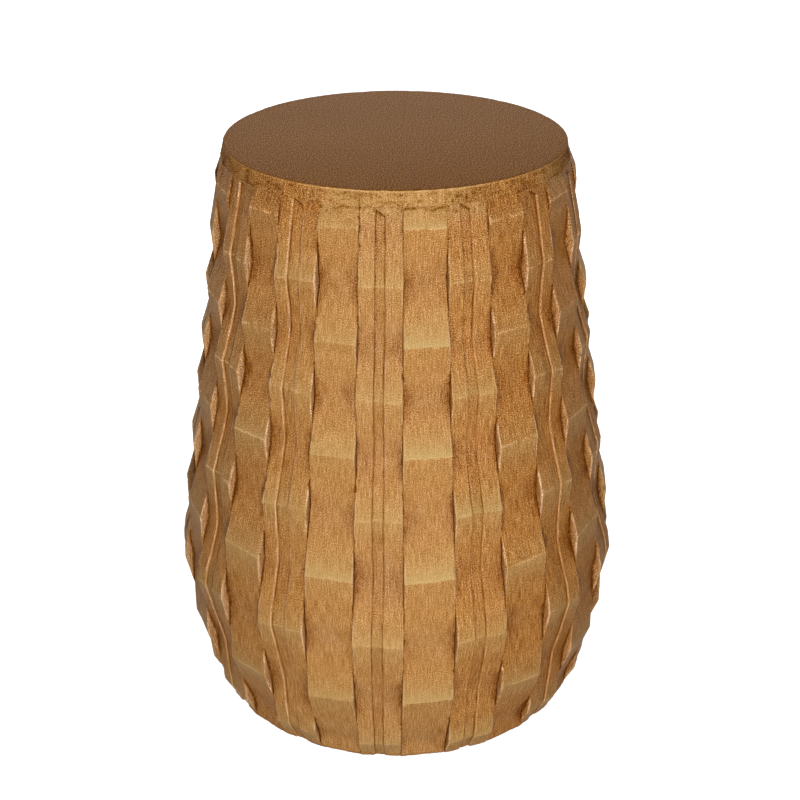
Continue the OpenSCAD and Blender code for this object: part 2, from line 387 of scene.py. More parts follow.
class Skin:
    """A stave's outer face while it is worn: its radius, how much each point is darkened by glazing and
    by painted shade, and how much it is lightened by bare wood and by painted highlight. blotch, grit and
    smear are noises from 0 to 1 that break these up."""

    def __init__(self, stave):
        u, v = stave.across * STAVE_WIDTH, np.broadcast_to(ROW_Z[:, None], stave.across.shape)
        self.up, self.from_top = v, STAVE_LEN - v
        self.width = 2 * stave.face * math.tan(HALF_ANGLE)
        self.blotch = half_noise(u, v, 6 * MM, 14 * MM, stave.seed + 7)
        self.grit = half_noise(u, v, 1.2 * MM, 2.4 * MM, stave.seed + 8)
        self.smear = half_noise(u, v, 9 * MM, 26 * MM, stave.seed + 9)
        self.radius = stave.face.copy()
        self.glaze_and_shade, self.bared_and_lit = np.zeros(v.shape), np.zeros(v.shape)
        self.yellow = np.full(v.shape, stave.yellow)
        self.find_ridges(stave)

    def find_ridges(self, stave):
        """Masks from 0 to 1 for the stave's own ridges and hollows. crest is where a ridge is pale, a
        power of the way back to it, partly worn wood and partly a painted sheen, and just below the ridge
        a painted reflection of the floor that is paler low down. under is the way back from below, where
        the facet faces down. The pale line along a ridge is a bell, and hollow is one round the middle of
        each hollow."""
        self.crest, self.under, line, self.hollow = (np.zeros(self.up.shape) for _ in range(4))
        for k, (z, sign) in enumerate(zip(RIDGE_Z, stave.ridge_sign)):
            d = stave.slid - z
            if sign > 0:
                wear = stave.wear[k // 2]
                # Painted reflection of the floor: the wood just below a ridge is paler, more so low down.
                pale_below = stave.below * min(1.25 - z / STAVE_LEN, 0.8)
                above = wear * np.clip(1 - d / (32 * MM), 0, 1) ** 1.9
                below = pale_below * np.clip(1 + d / (30 * MM), 0, 1) ** 1.5
                self.crest = np.maximum(self.crest, np.where(d >= -0.3 * MM, above, below))
                self.under = np.maximum(self.under, np.where(d < 0, np.clip(1 + d / (34 * MM), 0, 1), 0))
                line = np.maximum(line, between(1.4, 0.7, wear) * bell(d, 0.7 * MM))
            else:
                self.hollow = np.maximum(self.hollow, bell(d, 17 * MM))
        # Painted highlight: a pale line along each ridge, partly worn wood, strongest on the side staves.
        self.rub = stave.line * line * ramp(self.blotch, 0.1, 0.55)

    def darken(self, amount):
        """Darkens to this amount, where a point is less dark: glazing and dark joints, and painted shade
        where the callers lay it.
        """
        self.glaze_and_shade = np.maximum(self.glaze_and_shade, amount)

    def lay_bare_and_lit(self, amount):
        """Lightens to this amount, where a point is less light: bare wood, and painted highlight where
        the callers lay it.
        """
        self.bared_and_lit = np.maximum(self.bared_and_lit, amount)


def wear_edge(stave, skin, distance, step, side):
    """Wears one long edge, from the distance of each point to it and the step to the neighbour there,
    which is above 0 where this stave stands proud. A proud edge is rounded, chipped and worn to bare
    wood, a pale line that is partly painted highlight. A low one is darkened: a bell at the joint, and
    a smudge that fades out exponentially, wider the deeper the step and stronger on the side staves,
    which is partly glazing and partly painted shade."""
    proud = ramp(step, 0.6 * MM, 3.2 * MM)
    low = ramp(-step, 0.4 * MM, 4 * MM)
    drop = np.clip(-step / MM, 0, 7)
    uneven = 1 + 0.45 * line_noise(11 * MM, stave.seed + 10 + side)[:, None]
    skin.radius -= cut_arris(distance, between(0.25, 0.75, proud) * uneven * MM)
    chip = ramp(soft_noise(skin.up, distance, 3.1 * MM, 2.2 * MM, stave.seed + 12 + side), 0.42, 0.8)
    skin.radius -= 0.9 * MM * chip * bell(distance, 1.6 * MM) * between(0.35, 1, proud)
    skin.darken(0.7 * chip * bell(distance, 1.2 * MM) * (1 - proud))

    # Painted shade on the low side of a proud neighbour: a smudge, wider the deeper the step, stronger on
    # the side staves.
    reach = (0.8 + 0.65 * drop) * between(0.4, 1.5, skin.smear) * MM
    patchy = between(0.2, 0.55, skin.grit) * between(0.35, 1.25, skin.smear)
    skin.darken(stave.deep * low * np.exp(-distance / reach) * patchy)
    broken = between(0.25, 1, ramp(line_noise(5 * MM, stave.seed + 17 + side)[:, None], -0.5, 0.4))
    skin.darken(0.5 * ramp(-step, 0, 2 * MM) * bell(distance, 0.7 * MM) * broken)
    seam = between(0.45, 0.05, proud) * between(0.4, 1, skin.blotch) * broken
    skin.darken(seam * bell(distance, 0.5 * MM))

    # A pale line on a proud arris: partly bare wood and partly painted highlight, stronger on the side
    # staves.
    on_arris = bell(distance - 0.6 * MM, 0.55 * MM) * between(0.3, 1, ramp(skin.blotch, 0.3, 0.7))
    skin.lay_bare_and_lit(stave.edge * proud * on_arris)


def sink_middle_strip(stave, skin):
    """Lowers the middle strip by about 1.5 mm, up to a slanting cut under the rim. The grooves' lips are
    rounded and pale, partly bare wood and partly painted highlight that is stronger on the side staves.
    Their corners are darkened as a bell, and the sunk strip a little all over."""
    lean = stave.rng.choice([-1, 1])
    slant = (1 if stave.photographed else lean) * stave.rng.uniform(6, 13)
    across_strip = (stave.across - 0.5) / 0.28
    cut_z = STAVE_LEN - (stave.rng.uniform(2.5, 5) + slant * across_strip * 0.5) * MM
    runout = fade(skin.up, cut_z - 0.7 * MM, cut_z + 0.7 * MM)
    skin.darken(0.9 * stave.sunk * bell(skin.up - cut_z + 0.6 * MM, 0.8 * MM))

    depth = (1.5 + 0.5 * line_noise(60 * MM, stave.seed + 15))[:, None] * MM * runout
    full_depth = np.clip(depth / MM, 0, 1)
    to_left, to_right = (np.abs(stave.across - groove) for groove in stave.grooves)
    to_groove = np.minimum(to_left, to_right) * skin.width
    beside = 1 - stave.sunk
    skin.radius -= stave.sunk * depth
    skin.radius -= beside * cut_arris(to_groove, 0.55 * MM) * full_depth
    skin.radius -= stave.sunk * 0.35 * MM * bell(to_groove, 0.6 * MM) * runout

    faded = between(0.35, 1, ramp(line_noise(9 * MM, stave.seed + 20)[:, None], -0.5, 0.5))
    corner = 0.8 * faded * bell(to_groove, 0.7 * MM) + 0.3 * skin.smear * np.exp(-to_groove / (2.4 * MM))
    skin.darken(stave.sunk * corner * between(0.75, 1, skin.grit) * between(0.3, 1, runout))
    skin.darken(0.14 * stave.sunk * skin.smear)
    # The lips' pale line is partly bare wood and partly painted highlight, stronger on the side staves.
    lip = bell(to_groove - 0.4 * MM, 0.5 * MM) * full_depth
    skin.lay_bare_and_lit(stave.lit * beside * lip * between(0.3, 1, skin.blotch))


def wear_ends(stave, skin):
    """The stave's two ends. Under the rim a torn dark line crosses a wide stave, the wood is crumbly and
    its tone fades into the rim's, so it takes on the rim's painted sheen in front, and on the side staves
    it darkens towards the rim, which is painted shade. At the foot it is frayed."""
    pale = stave.rim_pale
    if stave.wide:
        tear_waver = soft_noise(stave.across * STAVE_WIDTH, 0 * skin.up, 5 * MM, 1, stave.seed + 16)
        tear_z = STAVE_LEN - (1.6 + 1.3 * tear_waver) * MM
        tear = bell(skin.up - tear_z, 0.9 * MM) * ramp(skin.blotch, 0.15, 0.55) * between(0.2, 1, pale)
        skin.radius -= 0.7 * MM * tear
        skin.darken(0.8 * tear * between(0.45, 1, skin.grit))

    crumbly = fade(skin.from_top, 3 * MM, 14 * MM)
    skin.radius -= 0.4 * MM * crumbly * ramp(skin.grit, 0.62, 0.9) * (skin.from_top > MM)
    skin.darken(0.4 * crumbly * ramp(skin.grit, 0.55, 0.95))
    # Painted shade: darker towards the rim on the staves whose rim is dark, the side ones.
    shade_under_rim = (1 - pale) * fade(skin.from_top, 6 * MM, 34 * MM)
    skin.darken(shade_under_rim * between(0.04, 0.14, skin.smear))
    near_rim = fade(skin.from_top, 4 * MM, 16 * MM)
    skin.crest = between(skin.crest, 0.4 * pale, np.maximum(near_rim, 0.6 * shade_under_rim))
    skin.yellow = between(skin.yellow, pale, np.maximum(near_rim, 0.8 * shade_under_rim))

    frayed = fade(skin.up, 0, 2.5 * MM)
    skin.radius -= 0.5 * MM * frayed * ramp(skin.grit, 0.45, 0.9)
    skin.darken(0.6 * frayed * skin.grit)


def with_sides(front, on_left, on_right=None):
    """A mask with what it is on the joint faces, alike on both if only one is given, and 0 at the two
    columns of the inner face."""
    on_right = on_left if on_right is None else on_right
    left, right = (np.broadcast_to(value, (ROWS, len(SIDE_DEPTHS))) for value in (on_left, on_right))
    return np.hstack([front, right, np.zeros((ROWS, 2)), left[:, ::-1]])


def build_stave(stave, left, right):
    """The closed surface of a stave between its two neighbours. Its cross-section is a line of points:
    the worn outer face, down the right joint face, two inner corners and up the left joint face. Each
    point lies at its radius along the stave's middle, and beside it at the radius times the tangent of
    its azimuth. The section is carried up the rows and turned to the stave."""
    step_left = stave.face[:, :1] - left.face[:, -1:]
    step_right = stave.face[:, -1:] - right.face[:, :1]
    skin = Skin(stave)
    wear_edge(stave, skin, stave.across * skin.width, step_left, 1)
    wear_edge(stave, skin, (1 - stave.across) * skin.width, step_right, 2)
    if not stave.wide:
        sink_middle_strip(stave, skin)
    wear_ends(stave, skin)

    azimuth_left = -HALF_ANGLE + JOINTS[left.place][:, None] + GLUE / stave.face[:, :1]
    azimuth_right = HALF_ANGLE + JOINTS[stave.place][:, None] - GLUE / stave.face[:, -1:]
    azimuth = between(azimuth_left, azimuth_right, stave.across)
    inner = (barrel_radius(ROW_Z) - WALL)[:, None]
    right_side = stave.face[:, -1:] - ARRIS_DROP - SIDE_DEPTHS
    left_side = (stave.face[:, :1] - ARRIS_DROP - SIDE_DEPTHS)[:, ::-1]
    radial = np.hstack([skin.radius, right_side, inner, inner, left_side])
    ones = np.ones(SIDE_DEPTHS.shape)
    angle = np.hstack([azimuth, azimuth_right * ones, azimuth_right, azimuth_left, azimuth_left * ones])
    sideways = radial * np.tan(angle)
    out, along = math.sin(stave.azimuth), math.cos(stave.azimuth)
    height = np.broadcast_to(ROW_Z[:, None] + PAD_T, radial.shape)
    points = np.stack([radial * out + sideways * along, sideways * out - radial * along, height], axis=-1)

    # The joint faces are painted: pale at the arris where the stave stands proud, a painted highlight,
    # and dark below the neighbour's face, painted shade deep in the joint.
    steps = (step_left, step_right)
    rubbed_and_lit = [1.2 * np.exp(-SIDE_DEPTHS / (0.7 * MM)) * ramp(s, 0.6 * MM, 3 * MM) for s in steps]
    hidden = [(SIDE_DEPTHS + ARRIS_DROP - s) / (1.6 * MM) for s in steps]
    glazed_and_shaded = [np.clip(1.1 + depth, stave.side_glaze_and_shade, 1) for depth in hidden]
    attributes = {
        "crest": with_sides(skin.crest, 0.25),
        "under": with_sides(skin.under, 0),
        "hollow": with_sides(stave.dusky * skin.hollow + stave.pink, 1),
        "yellow": with_sides(skin.yellow, stave.yellow),
        "glaze_and_shade": with_sides(skin.glaze_and_shade, *glazed_and_shaded),
        "rub": with_sides(np.maximum(skin.rub, skin.bared_and_lit), *rubbed_and_lit),
        "bared_and_lit": with_sides(0.9 * skin.bared_and_lit, stave.side_pale),
    }
    # Each stave and each strip has a grain of its own, so their UVs lie well apart
    strip = np.zeros(radial.shape)
    if not stave.wide:
        strip[:, stave.middle_from : stave.middle_to] = 1
        strip[:, stave.middle_to : stave.across.shape[1]] = 2
    into_joint = with_sides(0 * stave.face, -SIDE_DEPTHS, SIDE_DEPTHS)
    u = sideways + into_joint + 0.3 * strip + 1.7 * stave.place
    grain = np.stack([u, height + 0.37 * stave.place + 0.21 * strip], axis=-1)
    return grid_mesh(stave.name + "_dressed", points, attributes, grain)


def build_staves():
    """All 28 staves. Their faces come first, because each is glazed and worn by its neighbours."""
    staves = [Stave(place) for place in range(STAVE_COUNT)]
    for stave in staves:
        if stave.wide:
            set_wide_columns(stave)
        else:
            set_strip_columns(stave)
        set_face(stave)
    rights = staves[1:] + staves[:1]
    return [(stave, build_stave(stave, staves[i - 1], rights[i])) for i, stave in enumerate(staves)]


def build_top():
    """The top with its rim: a profile from the middle of the top, over the arris as a quarter circle,
    down the rim and back under, carried round. Down the rim the radius goes evenly from the top's own to
    the staves' flats, which is the neck's radius over the cosine of the angle from a stave's middle.
    Pits, crumbs and dents are noises taken off the rim's radius."""
    turns = 1120
    axis_r = 0.4 * MM
    azimuth = np.linspace(0, 2 * math.pi, turns, endpoint=False)
    from_middle = (azimuth + HALF_ANGLE) % STAVE_ANGLE - HALF_ANGLE
    foot = NECK_R / np.cos(from_middle)
    face_r = np.array([0.4, 8, 24, 45, 66, 86, 102, 113, 120, 123.6, 125.4]) * MM
    arris = 0.9 * MM
    bend = np.linspace(0, math.pi / 2, 5)
    down = np.concatenate([np.linspace(0, 1, 16)[1:-1], [0.985, 1]])
    ones = np.ones(turns)
    over = np.concatenate([face_r, TOP_R - arris + arris * np.sin(bend)])
    side = TOP_R + down[:, None] * (foot - TOP_R)
    radius = np.vstack([over[:, None] * ones, side, foot - 3 * MM, 60 * MM * ones, axis_r * ones])
    arris_drop = arris - arris * np.cos(bend)
    drop = np.concatenate([0 * face_r, arris_drop, between(arris, RIM_H, down), 3 * [RIM_H]])
    height = (TABLE_H - drop)[:, None] * ones
    first, last = len(face_r), len(face_r) + len(bend) + len(down)
    on_rim = np.zeros(radius.shape)
    on_rim[first:last] = 1

    around = np.broadcast_to(azimuth * TOP_R, radius.shape)
    below = (TABLE_H - height) / RIM_H
    pits = ramp(soft_noise(around, height, 1.3 * MM, 1.3 * MM, 901), 0.3, 0.8)
    crumbs = soft_noise(around, height, 0.9 * MM, 0.9 * MM, 902)
    dents = ramp(soft_noise(around, height, 6 * MM, 2.4 * MM, 903), 0.25, 0.8)
    stains = half_noise(around, height, 11 * MM, 6 * MM, 904)
    depth = 0.35 * MM * pits + 0.12 * MM * (1 - crumbs) + 0.4 * MM * dents
    radius = radius - on_rim * depth * ramp(below, 0.02, 0.25) * fade(below, 0.7, 1)
    height = height - on_rim * 0.25 * MM * np.clip(dents + 0.4 * pits, 0, 1) * (below < 0.2)
    points = np.stack([radius * np.sin(azimuth), -radius * np.cos(azimuth), height], axis=-1)

    to_joint = (HALF_ANGLE - np.abs(from_middle)) * TOP_R
    joint_line = bell(to_joint, 0.7 * MM) * ramp(below, 0.25, 1) * between(0.4, 1, stains)
    # The rim is paler in front and darker at the sides: painted sheen and painted shade.
    pale = np.interp(azimuth, np.arange(STAVE_COUNT + 1) * STAVE_ANGLE, np.append(RIM_PALE, RIM_PALE[0]))
    pale = pale * np.ones(radius.shape)
    mottling_and_shade = 0.35 * pits * ramp(below, 0.1, 0.3) + 0.2 * dents + 0.2 * ramp(stains, 0.5, 0.9)
    # Painted shade: the less pale rim, at the sides, is marked darker.
    mottling_and_shade = mottling_and_shade + (1 - pale) * between(0.03, 0.15, stains)
    attributes = {
        "crest": on_rim * 0.4 * pale,
        "under": 0 * radius,
        "hollow": on_rim * 0.3,
        "glaze_and_shade": on_rim * np.clip(mottling_and_shade + 0.6 * joint_line, 0, 1) * ramp(below, 0.04, 0.2),
        "rub": on_rim * bell(below * RIM_H - 0.75 * MM, 0.4 * MM) * between(0.6, 1, crumbs),
        "rim": on_rim * ramp(below * RIM_H, 0.1 * MM, 0.6 * MM),
        "bared_and_lit": 0 * radius,
        "edge": np.exp(-np.clip(TOP_R - radius, 0, None) / (2.5 * MM)) * (below < 0.05),
        # Painted shade: how far towards the front a point lies, where the top is painted darker.
        "front_shade": np.clip(-points[..., 1] / TOP_R, 0, 1),
        "yellow": pale,
    }
    # The rim's UVs go round and up, the face's go flat across, and both lie clear of the staves'
    grain = np.stack([around + 70, height], axis=-1)
    grain[:first] = points[:first, :, :2] + 60
    # Rows run upwards, so that the faces point outwards
    attributes = {label: values[::-1] for label, values in attributes.items()}
    return grid_mesh("top_panel_dressed", points[::-1], attributes, grain[::-1])


def build_pads():
    """Four soft-edged pads: a profile that runs out under the pad, round a quarter circle, up its side
    and back in over it, is carried round the pad's centre."""
    centre_r = (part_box("floor_pads")[1][0] - PAD_R) * math.sqrt(2)
    axis_r = PAD_R * 0.05
    turn = np.linspace(0, 2 * math.pi, 48, endpoint=False)
    soft = 0.5 * MM
    bend = np.linspace(0, math.pi / 2, 5)
    radius = np.concatenate([[axis_r, PAD_R * 0.6], PAD_R - soft + soft * np.sin(bend), [PAD_R, axis_r]])
    height = np.concatenate([[0, 0], soft - soft * np.cos(bend), [PAD_T, PAD_T]])
    pieces = []
    for number, degrees in enumerate((45, 135, 225, 315), start=1):
        a = math.radians(degrees)
        x = centre_r * math.cos(a) + radius[:, None] * np.cos(turn)
        y = centre_r * math.sin(a) + radius[:, None] * np.sin(turn)
        z = np.broadcast_to(height[:, None], x.shape)
        pieces.append(grid_mesh(f"floor_pad_{number}", np.stack([x, y, z], axis=-1)))
    return pieces


# Materials


def put(tree, socket, value):
    """Sets a socket, or links it where the value is another node's output."""
    if isinstance(value, bpy.types.NodeSocket):
        tree.links.new(value, socket)
    else:
        socket.default_value = value


def new_node(tree, kind, values=(), **settings):
    """A shader node with these settings, whose first inputs take these values in order."""
    node = tree.nodes.new("ShaderNode" + kind)
    for key, setting in settings.items():
        setattr(node, key, setting)
    for socket, value in zip(node.inputs, values):
        put(tree, socket, value)
    return node


def maths(tree, operation, a, b, clamp=False):
    """A sum, difference or product of two numbers, held to 0..1 if clamp is set."""
    return new_node(tree, "Math", (a, b), operation=operation, use_clamp=clamp).outputs[0]


def vector_maths(tree, operation, a, b):
    """The same for two vectors or colours."""
    return new_node(tree, "VectorMath", (a, b), operation=operation).outputs[0]


def blend(tree, share, a, b, mode="MIX"):
    """A share of the colour b laid over the colour a."""
    node = new_node(tree, "Mix", (share,), data_type="RGBA", blend_type=mode)
    put(tree, node.inputs[6], a)
    put(tree, node.inputs[7], b)
    return node.outputs[2]


def spread(tree, value, low, high, start=0.0, end=1.0):
    """Maps a value from low..high to start..end and clamps it."""
    return new_node(tree, "MapRange", (value, low, high, start, end)).outputs[0]


def swing(tree, value, size):
    """Maps a value from 0..1 to -size..size."""
    return spread(tree, value, 0, 1, -size, size)


def stretched_noise(tree, vector, scale, detail=3.0, roughness=0.55):
    """Noise on coordinates in metres that are first stretched by scale, in cells per metre."""
    place = new_node(tree, "Mapping", (vector,))
    place.inputs["Scale"].default_value = scale
    noise = new_node(tree, "TexNoise", (place.outputs[0],))
    noise.inputs["Scale"].default_value = 1
    noise.inputs["Detail"].default_value = detail
    noise.inputs["Roughness"].default_value = roughness
    return noise.outputs["Fac"]


def new_group(name, inputs, outputs):
    """An empty node group, the values that it is given and the sockets that it puts out."""
    tree = bpy.data.node_groups.new(name, "ShaderNodeTree")
    for label, kind in inputs:
        tree.interface.new_socket(label, in_out="INPUT", socket_type=kind)
    for label, kind in outputs:
        tree.interface.new_socket(label, in_out="OUTPUT", socket_type=kind)
    return tree, tree.nodes.new("NodeGroupInput").outputs, tree.nodes.new("NodeGroupOutput").inputs


def use_group(tree, group, **values):
    """Places a group in a tree with these values and returns what it puts out."""
    node = new_node(tree, "Group", node_tree=group)
    for label, value in values.items():
        put(tree, node.inputs[label], value)
    return node.outputs


NUMBER, VECTOR, COLOUR = "NodeSocketFloat", "NodeSocketVector", "NodeSocketColor"
DISPLAY_GAMMA = 2.2
# The near-black brown that no glaze goes below, in display tone
DARKEST = (0.20, 0.11, 0.05)


def tone_step(tree, colour, step):
    """The colour after a step in red, green and blue on the display's scale, where 1 is white: display
    tone is colour to the power of 1 / 2.2."""
    shown = new_node(tree, "Gamma", (colour, 1 / DISPLAY_GAMMA)).outputs[0]
    moved = vector_maths(tree, "ADD", shown, step)
    kept = vector_maths(tree, "MAXIMUM", moved, DARKEST)
    return new_node(tree, "Gamma", (kept, DISPLAY_GAMMA)).outputs[0]


# The noises of the grain: cells per metre across it, along it and up, detail, roughness, and the range
# of the noise that is spread over 0 to 1
FIBRE_NOISES = {
    "Streak": ((1000, 85, 1), 1, 0.6, 0.3, 0.7),
    "Pore": ((1050, 190, 1), 1, 0.5, 0.58, 0.72),
    "Stipple": ((1800, 1300, 1), 1, 0.6, 0.3, 0.7),
    "Mottle": ((330, 240, 1), 2, 0.6, 0.3, 0.7),
    "Figure": ((90, 34, 1), 4, 0.6, 0.32, 0.68),
}


def wood_fibre_group():
    """Grain along the second coordinate: streaks, dark pores, a stipple of sanded fibre, a mottle and a
    slow figure, each from 0 to 1."""
    numbers = [(label, NUMBER) for label in FIBRE_NOISES]
    tree, given, made = new_group("wood_fibre", [("Grain", VECTOR)], numbers)
    for label, (scale, detail, roughness, low, high) in FIBRE_NOISES.items():
        noise = stretched_noise(tree, given["Grain"], scale, detail, roughness)
        put(tree, made[label], spread(tree, noise, low, high))
    return tree


# The stain's colours: the base from orange to yellow, what warms and cools it, the pale ridge, and bare
# wood. The yellow, the cooling and the pale ridge also carry the painted sheen of the front light, the
# warming the painted shade below the ridges, and bare wood the painted highlights on edges and lips.
STAIN_AND_LIGHT_COLOURS = {
    "Orange": (0.388, 0.154, 0.019, 1),
    "Stain": (0.417, 0.202, 0.053, 1),
    "Warm": (0.89, 0.81, 0.72, 1),
    "Pale": (0.472, 0.302, 0.112, 1),
    "Dusky": (0.98, 1.01, 1.26, 1),
    "Bare_and_lit": (0.43, 0.25, 0.125, 1),
}
MASKS = ("Crest", "Under", "Hollow", "Glaze_and_shade", "Rub", "Yellow", "Bared_and_lit")
# How much the darkening, glazing and painted shade, takes from red, green and blue, where it is thin
# and where it fills a line
THIN_GLAZE_AND_SHADE = (1.0, 0.98, 0.85, 1)
LINE_GLAZE_AND_SHADE = (1.0, 1.08, 1.45, 1)
# How far each part of the grain moves the display tone
STREAK_SWING = 0.05
STIPPLE_SWING = 0.18
MOTTLE_SWING = 0.01
PORE_DROP = 0.04


def stain_and_painted_light_group():
    """Colour of stained wood with dark glazing in its corners, worn back on its ridges, and with painted
    light and shade laid in: a sheen on pale ridges and front staves, shade in corners, below ridges and
    at the sides, and highlights on edges. The stain runs from orange to yellow by stave, partly a painted
    sheen. Flecks, darkening and pale edges are equal steps of display tone: flecks plus the pale edges,
    less the darkening times its own tone. Flecks are weaker on pale ridges and yellow staves. Height is
    the streak and stipple less the pores, for a bump."""
    colours = [(label, COLOUR) for label in STAIN_AND_LIGHT_COLOURS]
    numbers = [(label, NUMBER) for label in (*FIBRE_NOISES, *MASKS)]
    results = [("Colour", COLOUR), ("Height", NUMBER)]
    tree, given, made = new_group("stain_and_painted_light", colours + numbers, results)

    def times(a, b, clamp=False):
        return maths(tree, "MULTIPLY", a, b, clamp)

    def plus(a, b, clamp=False):
        return maths(tree, "ADD", a, b, clamp)

    figure, streak, stipple, pore = (given[label] for label in ("Figure", "Streak", "Stipple", "Pore"))
    crest, glaze_and_shade = given["Crest"], given["Glaze_and_shade"]
    # Painted light in the colour: the Under mask warms and darkens below each ridge, partly painted
    # shade; the hollows are cooled and the crests made pale, partly a painted sheen of the front light.
    warm = plus(spread(tree, figure, 0, 1, 0.1, 0.7), times(given["Under"], 0.2), True)
    dusk = times(given["Hollow"], spread(tree, figure, 0, 1, 1.0, 0.3))
    pale = times(crest, spread(tree, figure, 0, 1, 0.8, 1), True)
    colour = blend(tree, given["Yellow"], given["Orange"], given["Stain"])
    colour = blend(tree, warm, colour, given["Warm"], "MULTIPLY")
    colour = blend(tree, dusk, colour, given["Dusky"], "MULTIPLY")
    colour = blend(tree, pale, colour, given["Pale"])
    colour = blend(tree, given["Bared_and_lit"], colour, given["Bare_and_lit"])

    fleck = plus(swing(tree, streak, STREAK_SWING), swing(tree, stipple, STIPPLE_SWING))
    fleck = plus(fleck, swing(tree, given["Mottle"], MOTTLE_SWING))
    fleck = maths(tree, "SUBTRACT", fleck, times(pore, PORE_DROP))
    fleck = times(fleck, spread(tree, crest, 0.1, 0.8, 1.0, 0.5))
    fleck = times(fleck, spread(tree, given["Yellow"], 0.2, 1.0, 1.8, 1.2))
    # The darkening holds glazing and painted shade, the pale edges worn wood and painted highlight.
    dark = times(glaze_and_shade, spread(tree, stipple, 0.1, 0.9, 0.52, 0.32))
    rubbed_and_lit = times(given["Rub"], spread(tree, stipple, 0.2, 0.8, 0.08, 0.18))
    glaze_and_shade_tone = blend(tree, spread(tree, glaze_and_shade, 0.25, 0.5), THIN_GLAZE_AND_SHADE, LINE_GLAZE_AND_SHADE)
    glazed_and_shaded = vector_maths(tree, "MULTIPLY", dark, glaze_and_shade_tone)
    step = vector_maths(tree, "SUBTRACT", plus(fleck, rubbed_and_lit), glazed_and_shaded)
    put(tree, made["Colour"], tone_step(tree, colour, step))
    rise = plus(times(streak, 0.5), times(stipple, 0.5))
    put(tree, made["Height"], maths(tree, "SUBTRACT", rise, times(pore, 0.4)))
    return tree


FIBRE = wood_fibre_group()
STAIN_AND_PAINTED_LIGHT = stain_and_painted_light_group()


def new_material(name, roughness, specular=0.07):
    """A material with its shader, whose plain values are set on the shader itself."""
    material = bpy.data.materials.new(name)
    material.use_nodes = True
    tree = material.node_tree
    shader = tree.nodes["Principled BSDF"]
    shader.inputs["Roughness"].default_value = roughness
    shader.inputs["Specular IOR Level"].default_value = specular
    return material, tree, shader


def bump(tree, shader, height, distance, strength=1.0):
    """Feeds a height from 0 to 1 to the shader's normal. 1 stands for the distance in metres."""
    node = new_node(tree, "Bump")
    node.inputs["Distance"].default_value = distance
    node.inputs["Strength"].default_value = strength
    put(tree, node.inputs["Height"], height)
    put(tree, shader.inputs["Normal"], node.outputs[0])


def attribute(tree, name):
    """A number that the mesh carries at each point."""
    return new_node(tree, "Attribute", attribute_name=name).outputs["Fac"]


def grain_uv(tree):
    """The piece's own UV map, in metres across and along its grain."""
    return new_node(tree, "UVMap", uv_map="grain").outputs[0]


def object_place(tree):
    """The place on the piece, in metres."""
    return new_node(tree, "TexCoord").outputs["Object"]


def stain_and_painted_light(tree, fibre):
    """The stain with its painted light and shade, in its colours, with the piece's own masks."""
    grain = {label: fibre[label] for label in FIBRE_NOISES}
    masks = {label: attribute(tree, label.lower()) for label in MASKS}
    return use_group(tree, STAIN_AND_PAINTED_LIGHT, **STAIN_AND_LIGHT_COLOURS, **grain, **masks)


def stained(name, roughness=0.6):
    """The staves' finish, with painted light and shade in its colour."""
    material, tree, shader = new_material(name, roughness)
    fibre = use_group(tree, FIBRE, Grain=grain_uv(tree))
    made = stain_and_painted_light(tree, fibre)
    sheen = spread(tree, fibre["Stipple"], 0, 1, roughness - 0.08, roughness + 0.12)
    put(tree, shader.inputs["Base Color"], made["Colour"])
    put(tree, shader.inputs["Roughness"], sheen)
    bump(tree, shader, made["Height"], 0.25 * MM, 0.35)
    return material


def plain_wood(name, light, dark, roughness=0.7):
    """Bare or evenly stained wood, from light to dark by the mean of its streaks and its figure."""
    material, tree, shader = new_material(name, roughness)
    fibre = use_group(tree, FIBRE, Grain=object_place(tree))
    streak, figure = (maths(tree, "MULTIPLY", fibre[label], 0.5) for label in ("Streak", "Figure"))
    share = maths(tree, "ADD", streak, figure)
    sheen = spread(tree, fibre["Stipple"], 0, 1, roughness - 0.08, roughness + 0.1)
    put(tree, shader.inputs["Base Color"], blend(tree, share, (*light, 1), (*dark, 1)))
    put(tree, shader.inputs["Roughness"], sheen)
    bump(tree, shader, fibre["Streak"], 0.2 * MM)
    return material


def top_material():
    """The top: even brown stain over a sanded face with a fine stipple, darker at its arris, and darker
    towards the front, which is painted shade. Below its arris the rim has the staves' stain with its
    painted light and shade, under a faint painted sheen."""
    material, tree, shader = new_material("top_stain_and_painted_light", 0.45, 0.0015)
    brown, deeper_brown = (0.271, 0.109, 0.017, 1), (0.258, 0.101, 0.014, 1)
    # Painted shade: the face is tinted darker towards the front.
    arris_tint, front_shade_tint = (0.9, 0.8, 0.6, 1), (0.79, 0.68, 0.1, 1)
    # Painted sheen: a faint pale veil added to the rim's colour.
    rim_sheen = (0.010, 0.010, 0.006, 1)
    face_swing, rim_swing = 0.27, 0.06
    cloud = spread(tree, stretched_noise(tree, object_place(tree), (9, 14, 9), 2, 0.5), 0.3, 0.7)
    stipple = spread(tree, stretched_noise(tree, grain_uv(tree), (1250, 620, 1), 1, 0.6), 0.3, 0.7)
    face = blend(tree, cloud, brown, deeper_brown)
    face = blend(tree, attribute(tree, "front_shade"), face, front_shade_tint, "MULTIPLY")
    face = blend(tree, attribute(tree, "edge"), face, arris_tint, "MULTIPLY")
    face = tone_step(tree, face, swing(tree, stipple, face_swing))
    fibre = use_group(tree, FIBRE, Grain=grain_uv(tree))
    rim = stain_and_painted_light(tree, fibre)
    rim = blend(tree, 1, rim["Colour"], rim_sheen, "ADD")
    rim = tone_step(tree, rim, swing(tree, stipple, rim_swing))
    put(tree, shader.inputs["Base Color"], blend(tree, attribute(tree, "rim"), face, rim))
    put(tree, shader.inputs["Roughness"], spread(tree, fibre["Stipple"], 0, 1, 0.4, 0.5))
    bump(tree, shader, stipple, 0.15 * MM, 0.4)
    return material


